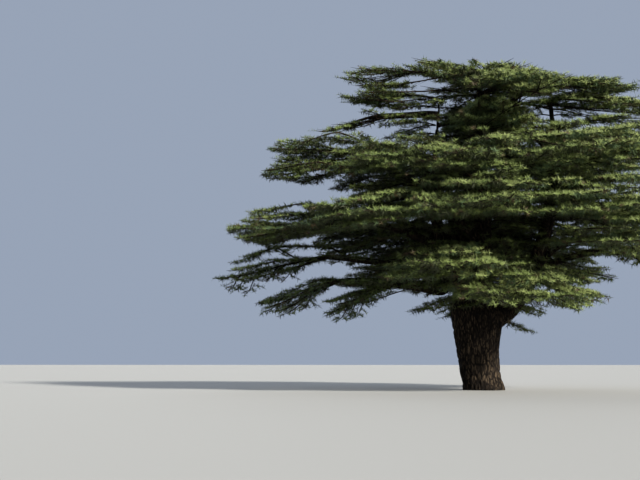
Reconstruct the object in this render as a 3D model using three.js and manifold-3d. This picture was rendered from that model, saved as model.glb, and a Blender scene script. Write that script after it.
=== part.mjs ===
// A mature park cedar: one stout trunk that forks low into rising stems, near-level boughs,
// and flat tiers of foliage held one above the other.
// Millimetres, +Z up. The origin is the middle of the flat cut under the trunk.
// Seen from the front, +X is to the right and +Y is away. Headings turn from +X towards +Y.

import * as THREE from "three";
import { mergeVertices } from "three/addons/utils/BufferGeometryUtils.js";
import Module from "manifold-3d";

const wasm = await Module();
wasm.setup();

// Driving dimensions. The tables below state heights, distances and radii in metres of a tree of
// this size, and rise, reach and girth turn each kind into millimetres.
const treeHeight = 20000;
const crownRadius = 14000;
const trunkWidth = 2500;
const rise = treeHeight / 20;
const reach = crownRadius / 14;
const girth = trunkWidth / 2.5;

// The gap left between two pieces that meet, and the finest detail that a cut keeps.
const clearance = 0.4;
const finest = 0.2;

// How finely the pieces are faceted.
const trunkSides = 15;
const stemSides = 7;
const boughSides = 5;
const boughSteps = 4;
const massSides = 15;
const massRings = 4;

const barkMaterial = { color: 0x3a2c22, roughness: 0.95, metalness: 0 };
const foliageMaterial = { color: 0x3f5a2c, roughness: 0.9, metalness: 0 };

// Each row is a place along a rising limb: its height, how far out it stands and its radius.
const trunkRows = [
  { height: 0, out: 0.04, radius: 1.27 },
  { height: 0.35, out: -0.02, radius: 1.2 },
  { height: 0.95, out: -0.16, radius: 1.17 },
  { height: 1.9, out: -0.25, radius: 1.23 },
  { height: 2.8, out: -0.32, radius: 1.31 },
  { height: 3.7, out: -0.32, radius: 1.46 },
  { height: 4.5, out: -0.36, radius: 1.56 },
  { height: 5.4, out: -0.48, radius: 1.32 },
  { height: 7, out: -0.55, radius: 0.88 },
  { height: 10, out: -0.62, radius: 0.6 },
  { height: 13.5, out: -0.4, radius: 0.43 },
  { height: 16.5, out: -0.1, radius: 0.28 },
  { height: 19.2, out: 0.15, radius: 0.09 },
];

const stems = [
  {
    name: "stem_right",
    heading: 356,
    rows: [
      { height: 3.1, out: -0.1, radius: 0.7 },
      { height: 4.1, out: 1.0, radius: 0.68 },
      { height: 5.2, out: 2.0, radius: 0.6 },
      { height: 7.4, out: 3.2, radius: 0.5 },
      { height: 11, out: 4.2, radius: 0.38 },
      { height: 15.6, out: 4.5, radius: 0.16 },
    ],
  },
  {
    name: "stem_left",
    heading: 188,
    rows: [
      { height: 3.6, out: 0.4, radius: 0.62 },
      { height: 5, out: 1.3, radius: 0.6 },
      { height: 7, out: 1.95, radius: 0.48 },
      { height: 11, out: 2.75, radius: 0.36 },
      { height: 15, out: 2.6, radius: 0.24 },
      { height: 17.7, out: 2.3, radius: 0.12 },
    ],
  },
  {
    name: "stem_back",
    heading: 86,
    rows: [
      { height: 3.4, out: 0.2, radius: 0.64 },
      { height: 4.8, out: 1.35, radius: 0.6 },
      { height: 7, out: 2.4, radius: 0.48 },
      { height: 11, out: 3.3, radius: 0.36 },
      { height: 16.2, out: 3.2, radius: 0.15 },
    ],
  },
  {
    name: "stem_front",
    heading: 276,
    rows: [
      { height: 3.7, out: 0.2, radius: 0.58 },
      { height: 5.2, out: 1.35, radius: 0.55 },
      { height: 7.4, out: 2.1, radius: 0.44 },
      { height: 11, out: 2.9, radius: 0.33 },
      { height: 15.4, out: 2.9, radius: 0.14 },
    ],
  },
];

// Each mass is a flat, fan-shaped plate that runs out along its heading: from and to are the
// distances of its two ends from the tree's axis, level and tip are the heights of its middle
// there, and width and depth are its size across. Its bough, where it has one, leaves a rising
// limb at a height and tapers from its root to its end. A mass without one grows round a limb.
const tiers = {
  // The flat top of the crown, then the plates just under it.
  head: [
    { name: "top", heading: 2, from: -4.6, to: 5.6, level: 19.5, tip: 18.65, width: 7.6, depth: 1.3 },
    { name: "left", heading: 180, from: 3.4, to: 8.5, level: 19.45, tip: 19.1, width: 3.8, depth: 0.6 },
    { name: "right", heading: 357, from: 4.4, to: 9.2, level: 18.8, tip: 18.2, width: 5.0, depth: 0.9,
      bough: { from: "trunk", at: 15.6, root: 0.22, end: 0.11 } },
    { name: "left_low", heading: 182, from: 1.4, to: 8.7, level: 17.6, tip: 17.4, width: 4.6, depth: 0.9 },
    { name: "right_low", heading: 1, from: 2.2, to: 11.3, level: 17.5, tip: 17.1, width: 4.6, depth: 0.75,
      bough: { from: "stem_right", at: 13.6, root: 0.2, end: 0.12 } },
    { name: "front", heading: 298, from: -0.7, to: 7.6, level: 18.6, tip: 17.2, width: 5.2, depth: 0.9 },
    { name: "back", heading: 80, from: -0.7, to: 8.2, level: 17.4, tip: 16.6, width: 6.8, depth: 1.9 },
    { name: "heart", heading: 284, from: -0.9, to: 4.8, level: 16.3, tip: 15.8, width: 5.0, depth: 1.9 },
    { name: "left_spur", heading: 181, from: 6.4, to: 9.9, level: 16.65, tip: 16.15, width: 1.7, depth: 0.45,
      bough: { from: "stem_left", at: 16.6, root: 0.13, end: 0.07 } },
  ],
  upper: [
    { name: "left", heading: 179, from: 3.2, to: 12.8, level: 14.8, tip: 14.8, width: 6.6, depth: 1.1 },
    { name: "left_under", heading: 183, from: 6.0, to: 12.7, level: 14.1, tip: 13.2, width: 5.2, depth: 1.6,
      bough: { from: "stem_left", at: 11.6, root: 0.24, end: 0.13 } },
    { name: "front_left", heading: 232, from: 3.4, to: 10.6, level: 13.8, tip: 12.6, width: 7.6, depth: 2.1,
      bough: { from: "stem_front", at: 11.4, root: 0.24, end: 0.14 } },
    { name: "front", heading: 276, from: 1.6, to: 10.4, level: 13.6, tip: 12.2, width: 8.0, depth: 2.1 },
    { name: "front_right", heading: 318, from: 3.6, to: 11.6, level: 14.2, tip: 12.6, width: 7.8, depth: 2.3,
      bough: { from: "stem_right", at: 12.4, root: 0.24, end: 0.14 } },
    { name: "right", heading: 2, from: 3.2, to: 12.9, level: 15.2, tip: 14.6, width: 7.2, depth: 1.8 },
    { name: "back_right", heading: 45, from: 3.6, to: 11.8, level: 14.7, tip: 13.8, width: 7.8, depth: 2.5,
      bough: { from: "stem_right", at: 11.8, root: 0.24, end: 0.14 } },
    { name: "back", heading: 90, from: 1.8, to: 11.2, level: 14.5, tip: 13.5, width: 8.4, depth: 2.9 },
    { name: "back_left", heading: 136, from: 3.6, to: 11.2, level: 14.4, tip: 13.5, width: 7.8, depth: 2.3,
      bough: { from: "stem_back", at: 11.8, root: 0.24, end: 0.14 } },
  ],
  // The widest tier.
  middle: [
    { name: "left", heading: 181, from: 7.6, to: 14.7, level: 10.8, tip: 9.7, width: 7.4, depth: 2.0,
      bough: { from: "stem_left", at: 8.4, root: 0.34, end: 0.2 } },
    { name: "left_inner", heading: 184, from: 2.0, to: 8.8, level: 12.0, tip: 11.1, width: 6.6, depth: 3.0 },
    { name: "front_left", heading: 226, from: 3.4, to: 12.2, level: 11.3, tip: 9.4, width: 8.2, depth: 2.2,
      bough: { from: "stem_front", at: 8.2, root: 0.32, end: 0.18 } },
    { name: "front", heading: 272, from: 1.9, to: 12.2, level: 11.5, tip: 9.7, width: 8.6, depth: 2.7 },
    { name: "front_right", heading: 316, from: 3.6, to: 12.6, level: 11.4, tip: 9.9, width: 8.2, depth: 2.6,
      bough: { from: "stem_right", at: 8.6, root: 0.32, end: 0.18 } },
    { name: "right", heading: 359, from: 3.0, to: 13.8, level: 11.0, tip: 10.1, width: 7.8, depth: 2.4 },
    { name: "back_right", heading: 43, from: 3.6, to: 12.8, level: 11.1, tip: 10.0, width: 8.2, depth: 3.1,
      bough: { from: "stem_back", at: 8.6, root: 0.32, end: 0.18 } },
    { name: "back", heading: 90, from: 1.8, to: 12.8, level: 11.3, tip: 10.0, width: 8.8, depth: 3.4 },
    { name: "back_left", heading: 137, from: 3.6, to: 12.6, level: 10.9, tip: 9.8, width: 8.2, depth: 3.1,
      bough: { from: "stem_left", at: 8.0, root: 0.32, end: 0.18 } },
  ],
  // The lowest tier, which hangs down on the left.
  low: [
    { name: "left", heading: 181, from: 8.8, to: 15.9, level: 8.4, tip: 7.0, width: 4.4, depth: 1.7,
      bough: { from: "stem_left", at: 6.6, root: 0.3, end: 0.15 } },
    { name: "left_droop", heading: 187, from: 8.3, to: 13.1, level: 6.9, tip: 5.1, width: 4.4, depth: 1.6,
      bough: { from: "stem_left", at: 6.1, root: 0.28, end: 0.15 } },
    { name: "left_inner", heading: 194, from: 4.9, to: 9.3, level: 6.6, tip: 4.9, width: 4.6, depth: 2.1,
      bough: { from: "trunk", at: 5.0, root: 0.26, end: 0.15 } },
    { name: "front", heading: 258, from: 1.6, to: 10.8, level: 7.8, tip: 6.6, width: 7.6, depth: 1.9 },
    { name: "front_right", heading: 290, from: 1.2, to: 9.4, level: 7.0, tip: 5.2, width: 6.8, depth: 1.9 },
    { name: "right", heading: 352, from: 3.0, to: 7.3, level: 7.1, tip: 5.5, width: 4.4, depth: 1.8 },
    { name: "right_outer", heading: 4, from: 6.4, to: 13.0, level: 8.5, tip: 7.7, width: 6.0, depth: 1.5,
      bough: { from: "stem_right", at: 6.9, root: 0.3, end: 0.16 } },
    { name: "front_outer", heading: 326, from: 4.6, to: 11.8, level: 8.8, tip: 8.1, width: 6.4, depth: 1.5,
      bough: { from: "stem_right", at: 6.2, root: 0.28, end: 0.16 } },
    { name: "back_right", heading: 57, from: 0.8, to: 11.6, level: 8.5, tip: 7.7, width: 7.8, depth: 2.8 },
    { name: "back_left", heading: 123, from: 0.8, to: 11.6, level: 8.5, tip: 7.7, width: 7.8, depth: 2.8 },
  ],
};

// Every mass, named by its tier.
const masses = Object.entries(tiers).flatMap(([tier, plates]) =>
  plates.map((plate) => ({ ...plate, name: `${tier}_${plate.name}` })),
);

// A point at a distance out along a heading, then aside to its left, at a height.
function place(heading, out, height, aside = 0) {
  const turn = THREE.MathUtils.degToRad(heading);
  const x = out * Math.cos(turn) - aside * Math.sin(turn);
  const y = out * Math.sin(turn) + aside * Math.cos(turn);
  return new THREE.Vector3(x * reach, y * reach, height * rise);
}

// The axis and the radii of a rising limb.
function riser(heading, rows) {
  const points = rows.map((row) => place(heading, row.out, row.height));
  const curve = new THREE.CatmullRomCurve3(points);
  const radii = rows.map((row) => row.radius * girth);
  return { curve, radii };
}

// The point of a rising limb's axis at a height, found by halving.
function axisAt(limb, height) {
  const halvings = 24;
  let low = 0;
  let high = 1;
  for (let step = 0; step < halvings; step += 1) {
    const middle = (low + high) / 2;
    if (limb.curve.getPoint(middle).z < height * rise) low = middle;
    else high = middle;
  }
  return limb.curve.getPoint(low);
}

// The value at a share of the way along a list of evenly counted values.
function along(values, share) {
  const last = values.length - 1;
  const index = Math.min(Math.floor(share * last), last - 1);
  return THREE.MathUtils.lerp(values[index], values[index + 1], share * last - index);
}

// Only the positions of a geometry, with its shared vertices merged, so that it is closed.
function closed(geometry) {
  const seam = 1e-4;
  geometry.deleteAttribute("normal");
  geometry.deleteAttribute("uv");
  return mergeVertices(geometry, seam);
}

function solidOf(geometry) {
  const vertProperties = geometry.attributes.position.array;
  const triVerts = new Uint32Array(geometry.index.array);
  return new wasm.Manifold(new wasm.Mesh({ numProp: 3, vertProperties, triVerts }));
}

// A solid a little larger than its geometry, which cuts its neighbours clear of it. Each vertex
// moves out along the mean of its faces' normals, until every one of those faces has moved out
// by the clearance.
function cutterOf(geometry) {
  const sharpest = 0.15;
  const grown = geometry.clone();
  const spots = grown.attributes.position;
  const normals = Array.from({ length: spots.count }, () => []);
  const face = new THREE.Triangle();
  for (let i = 0; i < grown.index.count; i += 3) {
    const corners = [0, 1, 2].map((corner) => grown.index.getX(i + corner));
    face.setFromAttributeAndIndices(spots, ...corners);
    const normal = face.getNormal(new THREE.Vector3());
    corners.forEach((corner) => normals[corner].push(normal));
  }
  normals.forEach((around, i) => {
    const mean = new THREE.Vector3();
    around.forEach((normal) => mean.add(normal));
    mean.normalize();
    const least = Math.min(...around.map((normal) => normal.dot(mean)));
    const moved = mean.multiplyScalar(clearance / Math.max(least, sharpest));
    spots.setXYZ(i, spots.getX(i) + moved.x, spots.getY(i) + moved.y, spots.getZ(i) + moved.z);
  });
  return solidOf(grown);
}

function geometryOf(solid) {
  const mesh = solid.getMesh();
  const geometry = new THREE.BufferGeometry();
  geometry.setAttribute("position", new THREE.BufferAttribute(mesh.vertProperties, 3));
  geometry.setIndex(new THREE.BufferAttribute(mesh.triVerts, 1));
  geometry.computeVertexNormals();
  return geometry;
}

// How much buttresses swell a limb around its axis: five ribs and three broad folds, which fade
// from the foot upwards but never quite end.
function buttressing(around, stepsUp) {
  const ribs = Math.cos(5 * around + 0.6);
  const folds = 0.6 * Math.cos(3 * around + 2);
  const lasting = 0.25;
  const fade = 0.45;
  return (lasting + Math.exp(-fade * stepsUp)) * (ribs + folds);
}

// A tapering limb swept along its curve. A level limb keeps its rings level, so that its foot is
// a flat cut.
function limbGeometry({ curve, radii, sides, steps, level = false, buttress = 0 }) {
  const up = new THREE.Vector3(0, 0, 1);
  const cylinder = new THREE.CylinderGeometry(1, 1, 1, sides, steps);
  const geometry = closed(cylinder.rotateX(Math.PI / 2));
  const spots = geometry.attributes.position;
  const spot = new THREE.Vector3();
  for (let i = 0; i < spots.count; i += 1) {
    spot.fromBufferAttribute(spots, i);
    const stepsUp = Math.round((spot.z + 0.5) * steps);
    const share = stepsUp / steps;
    const swell = 1 + buttress * buttressing(Math.atan2(spot.y, spot.x), stepsUp);
    spot.setZ(0).multiplyScalar(along(radii, share) * swell);
    if (!level) {
      const turn = new THREE.Quaternion().setFromUnitVectors(up, curve.getTangent(share));
      spot.applyQuaternion(turn);
    }
    spot.add(curve.getPoint(share));
    spots.setXYZ(i, spot.x, spot.y, spot.z);
  }
  return geometry;
}

// A bough leaves its limb's axis, climbs, and levels out to end inside the near part of its mass.
function boughOf(mass, risers) {
  const inside = 0.22;
  const bendOut = 0.45;
  const bendUp = 0.8;
  const { from, at, root, end } = mass.bough;
  const start = axisAt(risers.get(from), at);
  const out = THREE.MathUtils.lerp(mass.from, mass.to, inside);
  const height = THREE.MathUtils.lerp(mass.level, mass.tip, inside);
  const finish = place(mass.heading, out, height);
  const bend = start.clone().lerp(finish, bendOut);
  bend.z = THREE.MathUtils.lerp(start.z, finish.z, bendUp);
  const curve = new THREE.QuadraticBezierCurve3(start, bend, finish);
  const radii = [root, root * 0.82, root * 0.7, (root + end) / 2, end].map((radius) => radius * girth);
  return { curve, radii, sides: boughSides, steps: boughSteps };
}

// A mass of foliage: a flat fan with a lobed rim, a domed top and an uneven underside. Across it,
// run goes from -1 at its near end to 1 at its tip, and side from about -1 to 1.
function massGeometry({ heading, from, to, level, tip, width, depth }, order) {
  const [bigLobe, smallLobe, fanning, sag, ripple, bump] = [0.07, 0.05, 0.22, 0.08, 0.09, 0.18];
  const fullness = 0.8;
  const phase = order * 2.4;
  const lobed = (turn) =>
    1 + bigLobe * Math.sin(5 * turn + phase) + smallLobe * Math.sin(9 * turn + 2 * phase);
  const sphere = new THREE.SphereGeometry(1, massSides, massRings);
  const geometry = closed(sphere.rotateX(Math.PI / 2));
  const spots = geometry.attributes.position;
  for (let i = 0; i < spots.count; i += 1) {
    const spot = new THREE.Vector3().fromBufferAttribute(spots, i);
    const around = Math.atan2(spot.y, spot.x);
    const flat = Math.min(Math.hypot(spot.x, spot.y), 1) ** fullness;
    const rim = (flat * lobed(around)) / lobed(0);
    const run = rim * Math.cos(around);
    const side = rim * Math.sin(around) * (1 + fanning * run);
    const wave = ripple * depth * (Math.sin(4 * run + phase) + Math.sin(5 * side - phase));
    const middle = THREE.MathUtils.lerp(level, tip, (run + 1) / 2) - sag * width * side * side + wave;
    const thickness = (depth / 2) * (1 + bump * flat * Math.sin(3 * around + phase));
    const out = (from + to) / 2 + ((to - from) / 2) * run;
    const put = place(heading, out, middle + thickness * spot.z, (width / 2) * side);
    spots.setXYZ(i, put.x, put.y, put.z);
  }
  return geometry;
}

// The largest body that a cut leaves, without the cut's finest slivers.
function largest(solid) {
  const bodies = solid.decompose();
  const body = bodies.reduce((best, next) => (next.volume() > best.volume() ? next : best));
  return body.simplify(finest);
}

// A solid cut back from every grown neighbour whose box it meets.
function cutBack(solid, neighbours) {
  let left = solid;
  for (const neighbour of neighbours) {
    const a = left.boundingBox();
    const b = neighbour.boundingBox();
    const apart = [0, 1, 2].some((axis) => a.min[axis] > b.max[axis] || b.min[axis] > a.max[axis]);
    if (!apart) left = left.subtract(neighbour);
  }
  return largest(left);
}

function meshOf(name, solid, material) {
  const mesh = new THREE.Mesh(geometryOf(solid), new THREE.MeshStandardMaterial(material));
  mesh.name = name;
  return mesh;
}

// The limbs: the trunk is whole, the stems are cut back from it, and the boughs from both.
const trunk = {
  ...riser(0, trunkRows),
  sides: trunkSides,
  steps: trunkRows.length - 1,
  level: true,
  buttress: 0.045,
};
const risers = new Map([["trunk", trunk]]);
for (const { name, heading, rows } of stems) {
  risers.set(name, { ...riser(heading, rows), sides: stemSides, steps: rows.length + 1 });
}

const tree = new THREE.Group();
const limbCutters = [];
for (const [name, limb] of risers) {
  const geometry = limbGeometry(limb);
  tree.add(meshOf(name, cutBack(solidOf(geometry), limbCutters), barkMaterial));
  limbCutters.push(cutterOf(geometry));
}

const massGeometries = masses.map(massGeometry);
const boughCutters = new Map();
masses.forEach((mass, order) => {
  if (!mass.bough) return;
  const geometry = limbGeometry(boughOf(mass, risers));
  const neighbours = [...limbCutters, ...boughCutters.values(), cutterOf(massGeometries[order])];
  tree.add(meshOf(`${mass.name}_bough`, cutBack(solidOf(geometry), neighbours), barkMaterial));
  boughCutters.set(mass.name, cutterOf(geometry));
});

// The masses are cut round the limbs that pass them, and each by those listed before it.
const massCutters = [];
masses.forEach((mass, order) => {
  const passing = [...boughCutters].filter(([name]) => name !== mass.name).map(([, cutter]) => cutter);
  const neighbours = [...limbCutters, ...passing, ...massCutters];
  tree.add(meshOf(mass.name, cutBack(solidOf(massGeometries[order]), neighbours), foliageMaterial));
  massCutters.push(cutterOf(massGeometries[order]));
});

export default tree;
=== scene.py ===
# A mature park cedar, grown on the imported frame: furrowed bark on the trunk, the stems and the
# boughs, and in each foliage mass flat plates of branches, twigs and needles.
# Metres, +Z up. Seen from the front, +X is to the right and +Y is away.

import math

import bpy
import numpy as np
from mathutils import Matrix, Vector, noise
from mathutils.bvhtree import BVHTree


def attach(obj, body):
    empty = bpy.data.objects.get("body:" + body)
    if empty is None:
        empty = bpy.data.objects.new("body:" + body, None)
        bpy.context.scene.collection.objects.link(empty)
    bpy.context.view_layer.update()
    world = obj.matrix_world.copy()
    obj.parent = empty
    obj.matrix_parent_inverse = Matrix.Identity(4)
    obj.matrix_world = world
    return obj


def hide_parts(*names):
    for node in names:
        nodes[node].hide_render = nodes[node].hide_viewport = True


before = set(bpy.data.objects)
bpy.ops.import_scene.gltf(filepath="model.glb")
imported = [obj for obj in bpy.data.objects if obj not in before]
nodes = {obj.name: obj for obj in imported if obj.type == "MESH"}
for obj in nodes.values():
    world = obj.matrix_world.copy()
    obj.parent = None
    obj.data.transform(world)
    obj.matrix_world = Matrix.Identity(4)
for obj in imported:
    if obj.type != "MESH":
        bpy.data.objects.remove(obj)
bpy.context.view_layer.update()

# The seed of every random draw.
SEED = 41

TIERS = ("head", "upper", "middle", "low")


def by_tier(*values):
    """One value for each tier, from the head down."""
    return dict(zip(TIERS, values))


# The height at which each tier begins.
TIER_FLOORS = by_tier(15.8, 12.4, 8.0, 0.0)
STEMS = ("stem_right", "stem_left", "stem_back", "stem_front")
BOUGHS = sorted(name for name in nodes if name.endswith("_bough"))
MASSES = sorted(name for name in nodes if name.startswith(TIERS) and name not in BOUGHS)

UP = np.array([0.0, 0.0, 1.0])
AWAY = np.array([0.0, 1.0, 0.0])


# The camera

# The photograph's frame and its focal length, in pixels.
FRAME_WIDTH = 640
FOCAL_PIXELS = 1083
# The eye stands in front of the trunk, at a standing person's height, and looks past its left.
EYE = (0.0, -65.0, 1.6)
LOOK_LEFT = math.radians(8.51)
LOOK_UP = math.radians(6.46)


def add_camera():
    lens = bpy.data.cameras.new("camera")
    lens.sensor_fit = "HORIZONTAL"
    lens.lens = FOCAL_PIXELS / FRAME_WIDTH * lens.sensor_width
    lens.clip_end = 1000
    camera = bpy.data.objects.new("camera", lens)
    camera.location = EYE
    camera.rotation_euler = (math.pi / 2 + LOOK_UP, 0, LOOK_LEFT)
    bpy.context.scene.collection.objects.link(camera)
    bpy.context.scene.camera = camera


# Small helpers


def unit(vectors):
    """Vectors of length one, along the last axis."""
    vectors = np.asarray(vectors, float)
    lengths = np.linalg.norm(vectors, axis=-1, keepdims=True)
    return vectors / np.maximum(lengths, 1e-9)


def mix(a, b, share):
    return a + (b - a) * share


def spans_along(axis):
    """How far each point of a curve is from its first point, along the curve."""
    return np.concatenate([[0], np.cumsum(np.linalg.norm(np.diff(axis, axis=0), axis=1))])


def values_at(wanted, spans, vectors):
    """Vectors at wanted distances, from those at given distances."""
    return np.column_stack([np.interp(wanted, spans, vectors[:, k]) for k in range(3)])


def turns_in(sides):
    """The angles of the corners of a ring."""
    return np.arange(sides) * 2 * math.pi / sides


def vertex_vectors(mesh, what):
    """The places or the normals of a mesh's vertices."""
    vectors = np.empty(len(mesh.vertices) * 3)
    mesh.vertices.foreach_get(what, vectors)
    return vectors.reshape(-1, 3)


def mesh_arrays(name):
    """A CAD node's vertices and its triangles."""
    mesh = nodes[name].data
    mesh.calc_loop_triangles()
    corners = np.array([triangle.vertices for triangle in mesh.loop_triangles])
    return vertex_vectors(mesh, "co"), corners


def new_object(name, places, faces, materials, dealt=None, smooth=False):
    """A mesh object from its vertices and its faces, which all have as many corners."""
    mesh = bpy.data.meshes.new(name)
    places = np.asarray(places, np.float32)
    faces = np.asarray(faces, np.int32)
    corners = faces.shape[1]
    mesh.vertices.add(len(places))
    mesh.vertices.foreach_set("co", places.ravel())
    mesh.loops.add(faces.size)
    mesh.loops.foreach_set("vertex_index", faces.ravel())
    mesh.polygons.add(len(faces))
    mesh.polygons.foreach_set("loop_start", np.arange(0, faces.size, corners, dtype=np.int32))
    for material in materials:
        mesh.materials.append(material)
    if dealt is not None:
        mesh.polygons.foreach_set("material_index", np.asarray(dealt, np.int32))
    mesh.polygons.foreach_set("use_smooth", np.full(len(faces), smooth))
    mesh.update(calc_edges=True)
    mesh.validate()
    made = bpy.data.objects.new(name, mesh)
    bpy.context.scene.collection.objects.link(made)
    return made


# Limbs, as measured on the frame


def section(places, corners, along, level):
    """The centre and the mean radius of a mesh cut square to a direction at a level."""
    heights = places @ along
    above = heights > level
    count = above[corners].sum(axis=1)
    crossing = corners[(count == 1) | (count == 2)]
    if len(crossing) < 3:
        return None
    # The corner that lies alone on its side of the cut.
    is_above = above[crossing]
    lone = (is_above == (is_above.sum(axis=1) == 1)[:, None]).argmax(axis=1)
    rows = np.arange(len(crossing))
    ends = []
    for step in (1, 2):
        a = crossing[rows, lone]
        b = crossing[rows, (lone + step) % 3]
        share = (level - heights[a]) / (heights[b] - heights[a])
        ends.append(mix(places[a], places[b], share[:, None]))
    first, second = ends
    lengths = np.linalg.norm(second - first, axis=1)
    centre = ((first + second) / 2 * lengths[:, None]).sum(axis=0) / lengths.sum()
    area = np.linalg.norm(np.cross(first - centre, second - centre), axis=1).sum() / 2
    return centre, math.sqrt(area / math.pi)


# How many times a limb is measured, and from which share of its length to which.
TRUNK_LEVELS = (40, 0.004, 0.995)
STEM_LEVELS = (22, 0.12, 0.98)
BOUGH_LEVELS = (9, 0.1, 0.98)


def measured_limb(name, count, first, last):
    """The axis and the radii of a CAD limb, from its foot to its tip."""
    places, corners = mesh_arrays(name)
    middle = places.mean(axis=0)
    along = np.linalg.svd(places - middle, full_matrices=False)[2][0]
    outward = unit(middle * (1, 1, 0)) + UP if name in BOUGHS else UP
    if along @ outward < 0:
        along = -along
    heights = places @ along
    levels = mix(heights.min(), heights.max(), np.linspace(first, last, count))
    cuts = [section(places, corners, along, level) for level in levels]
    cuts = [cut for cut in cuts if cut]
    axis = np.array([cut[0] for cut in cuts])
    radii = np.array([cut[1] for cut in cuts])
    lean = np.abs(unit(np.gradient(axis, axis=0)) @ along)
    return axis, radii * np.sqrt(lean)


def nearest_on(axis, spot):
    """The index of the nearest point of an axis."""
    return int(np.linalg.norm(axis - spot, axis=1).argmin())


# The masses, as measured on the frame

# How far the foliage of a mass lies over its solid at the tree's axis, and how much further with
# each metre to the right.
SHIFTS = {
    "head_top": (-0.1, -0.08),
    "head_left": (0.12, 0.0),
    "head_left_low": (0.48, 0.0),
    "head_left_spur": (0.4, 0.085),
    "head_right": (-0.5, 0.0),
    "head_right_low": (0.15, -0.06),
}
# How far over its mass a plate may lie where the tiers close up.
ROOM_ABOVE = 0.45
# A mass whose centre is this near to the tree's axis lies on no side of the tree.
CENTRAL = 1.5


def rimmed(heights):
    """A grid of heights, with the empty cells beside its filled ones given their heights."""
    wide = np.pad(heights, 1, constant_values=np.nan)
    beside = np.stack([wide[:-2, 1:-1], wide[2:, 1:-1], wide[1:-1, :-2], wide[1:-1, 2:]])
    counts = (~np.isnan(beside)).sum(axis=0)
    means = np.nansum(beside, axis=0) / np.maximum(counts, 1)
    return np.where(np.isnan(heights) & (counts > 0), means, heights)


class Mass:
    """A foliage mass: the heights of its underside and its top over a grid of its plan."""

    CELL = 0.25

    def __init__(self, name):
        self.name = name
        self.tier = name.split("_")[0]
        self.is_spur = name.endswith("_spur")
        closes_up = self.tier in ("upper", "middle") and name.endswith("right")
        self.room = ROOM_ABOVE if closes_up or name == "low_left" else 0
        places, corners = mesh_arrays(name)
        self.origin = places.min(axis=0)[:2] - self.CELL
        span = places.max(axis=0)[:2] - self.origin
        self.shape = tuple(np.ceil(span / self.CELL).astype(int) + 2)
        low, high = self.measured(places, corners)
        filled = ~np.isnan(high)
        self.low = rimmed(low)
        self.high = rimmed(high)
        self.spots = self.origin + self.CELL * np.argwhere(filled)
        thick = (high - low)[filled]
        middles = (high + low)[filled] / 2
        self.volume = thick.sum() * self.CELL**2
        self.centre = np.append(
            (self.spots * thick[:, None]).sum(axis=0), (middles * thick).sum()
        ) / thick.sum()
        beside = self.spots - self.centre[:2]
        # The way that the mass runs out from the tree's axis.
        self.is_central = np.linalg.norm(self.centre[:2]) < CENTRAL
        self.heading = unit(self.centre[:2])
        if self.is_central:
            around = self.spots - self.spots.mean(axis=0)
            self.heading = np.linalg.svd(around, full_matrices=False)[2][0]
        self.runs = beside @ self.heading
        # The plane that the mass lies along: how much its middle rises to each side.
        plan = np.column_stack([beside, np.ones(len(beside))])
        self.lay = np.linalg.lstsq(plan, middles, rcond=None)[0][:2]

    def measured(self, places, corners):
        """The heights of the underside and the top over the grid, with the mass's shift."""
        tree = BVHTree.FromPolygons(places.tolist(), corners.tolist())
        low = np.full(self.shape, np.nan)
        high = np.full(self.shape, np.nan)
        above = places[:, 2].max() + 1
        below = places[:, 2].min() - 1
        for i, j in np.ndindex(self.shape):
            x, y = self.origin + self.CELL * np.array([i, j])
            top = tree.ray_cast((x, y, above), (0, 0, -1))[0]
            bottom = tree.ray_cast((x, y, below), (0, 0, 1))[0]
            if top is not None and bottom is not None:
                low[i, j] = bottom.z
                high[i, j] = top.z
        over, rise = SHIFTS.get(self.name, (0.0, 0.0))
        shift = over + rise * (self.origin[0] + self.CELL * np.arange(self.shape[0]))[:, None]
        return low + shift, high + shift

    def heights(self, plan):
        """The heights of the underside and the top at places of the plan, or no number outside."""
        cells = np.round((np.atleast_2d(plan) - self.origin) / self.CELL).astype(int)
        inside = ((cells >= 0) & (cells < self.shape)).all(axis=1)
        cells = np.clip(cells, 0, np.array(self.shape) - 1)
        low = np.where(inside, self.low[cells[:, 0], cells[:, 1]], np.nan)
        high = np.where(inside, self.high[cells[:, 0], cells[:, 1]], np.nan)
        return low, high

    def holds(self, places, slack):
        """True for each place that lies in the mass or within a slack over or under it."""
        low, high = self.heights(places[:, :2])
        return (places[:, 2] > low - slack) & (places[:, 2] < high + slack)


# The skeleton in the masses

# In each tier, one plate of foliage stands for this much of a mass, as a volume or an area, and has
# this length and width before they are varied. The plates of a mass lie in layers this far apart.
PLATE_VOLUME = by_tier(0.8, 2.2, 2.3, 2.2)
PLATE_AREA = by_tier(1.0, 3.0, 3.0, 2.7)
PLATE_LENGTH = by_tier(3.9, 3.6, 3.6, 3.4)
PLATE_WIDTH = by_tier(1.7, 2.6, 2.6, 2.4)
LAYER_STEP = by_tier(0.62, 0.72, 0.72, 0.66)
NODE_STEP = 0.6
# How far a bough's tip rises over its last third. The lowest boughs droop.
TIP_LIFT = by_tier(0.2, 0.08, 0.05, -0.05)
# How far the tip of a plate lies beyond its mass, and how far over or under it sprays may lie.
TIP_BEYOND = by_tier(-0.25, 0.1, 0.1, 0.1)
SPRAY_SLACK = by_tier((-0.1, 0.1), (0.1, 0.45), (0.15, 0.5), (0.15, 0.5))
# How steeply the sprays on the underside of a plate hang, before that is varied.
HANG = by_tier(0.08, 0.45, 0.5, 0.75)
# How many times further forward than usual the side branches and twigs of a plate lean.
SWEEP = by_tier(1.5, 1.1, 1.0, 1.0)
# Left of this lies the shaded side, where masses have this many times the plates.
SHADED_SIDE = -3.0
SHADED_PLATES = 1.2
# A spur is a stout bough with narrow plates: the shares of the usual girth, width and number.
SPUR_GIRTH = 2.2
SPUR_WIDTH = 0.5
SPUR_PLATES = 1.6
# A plate slopes by the first of these shares of its mass's slope, or the second where that is steep.
EASY_LAY = 0.7
STEEP_LAY = 1.15
STEEP = 0.25
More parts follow.
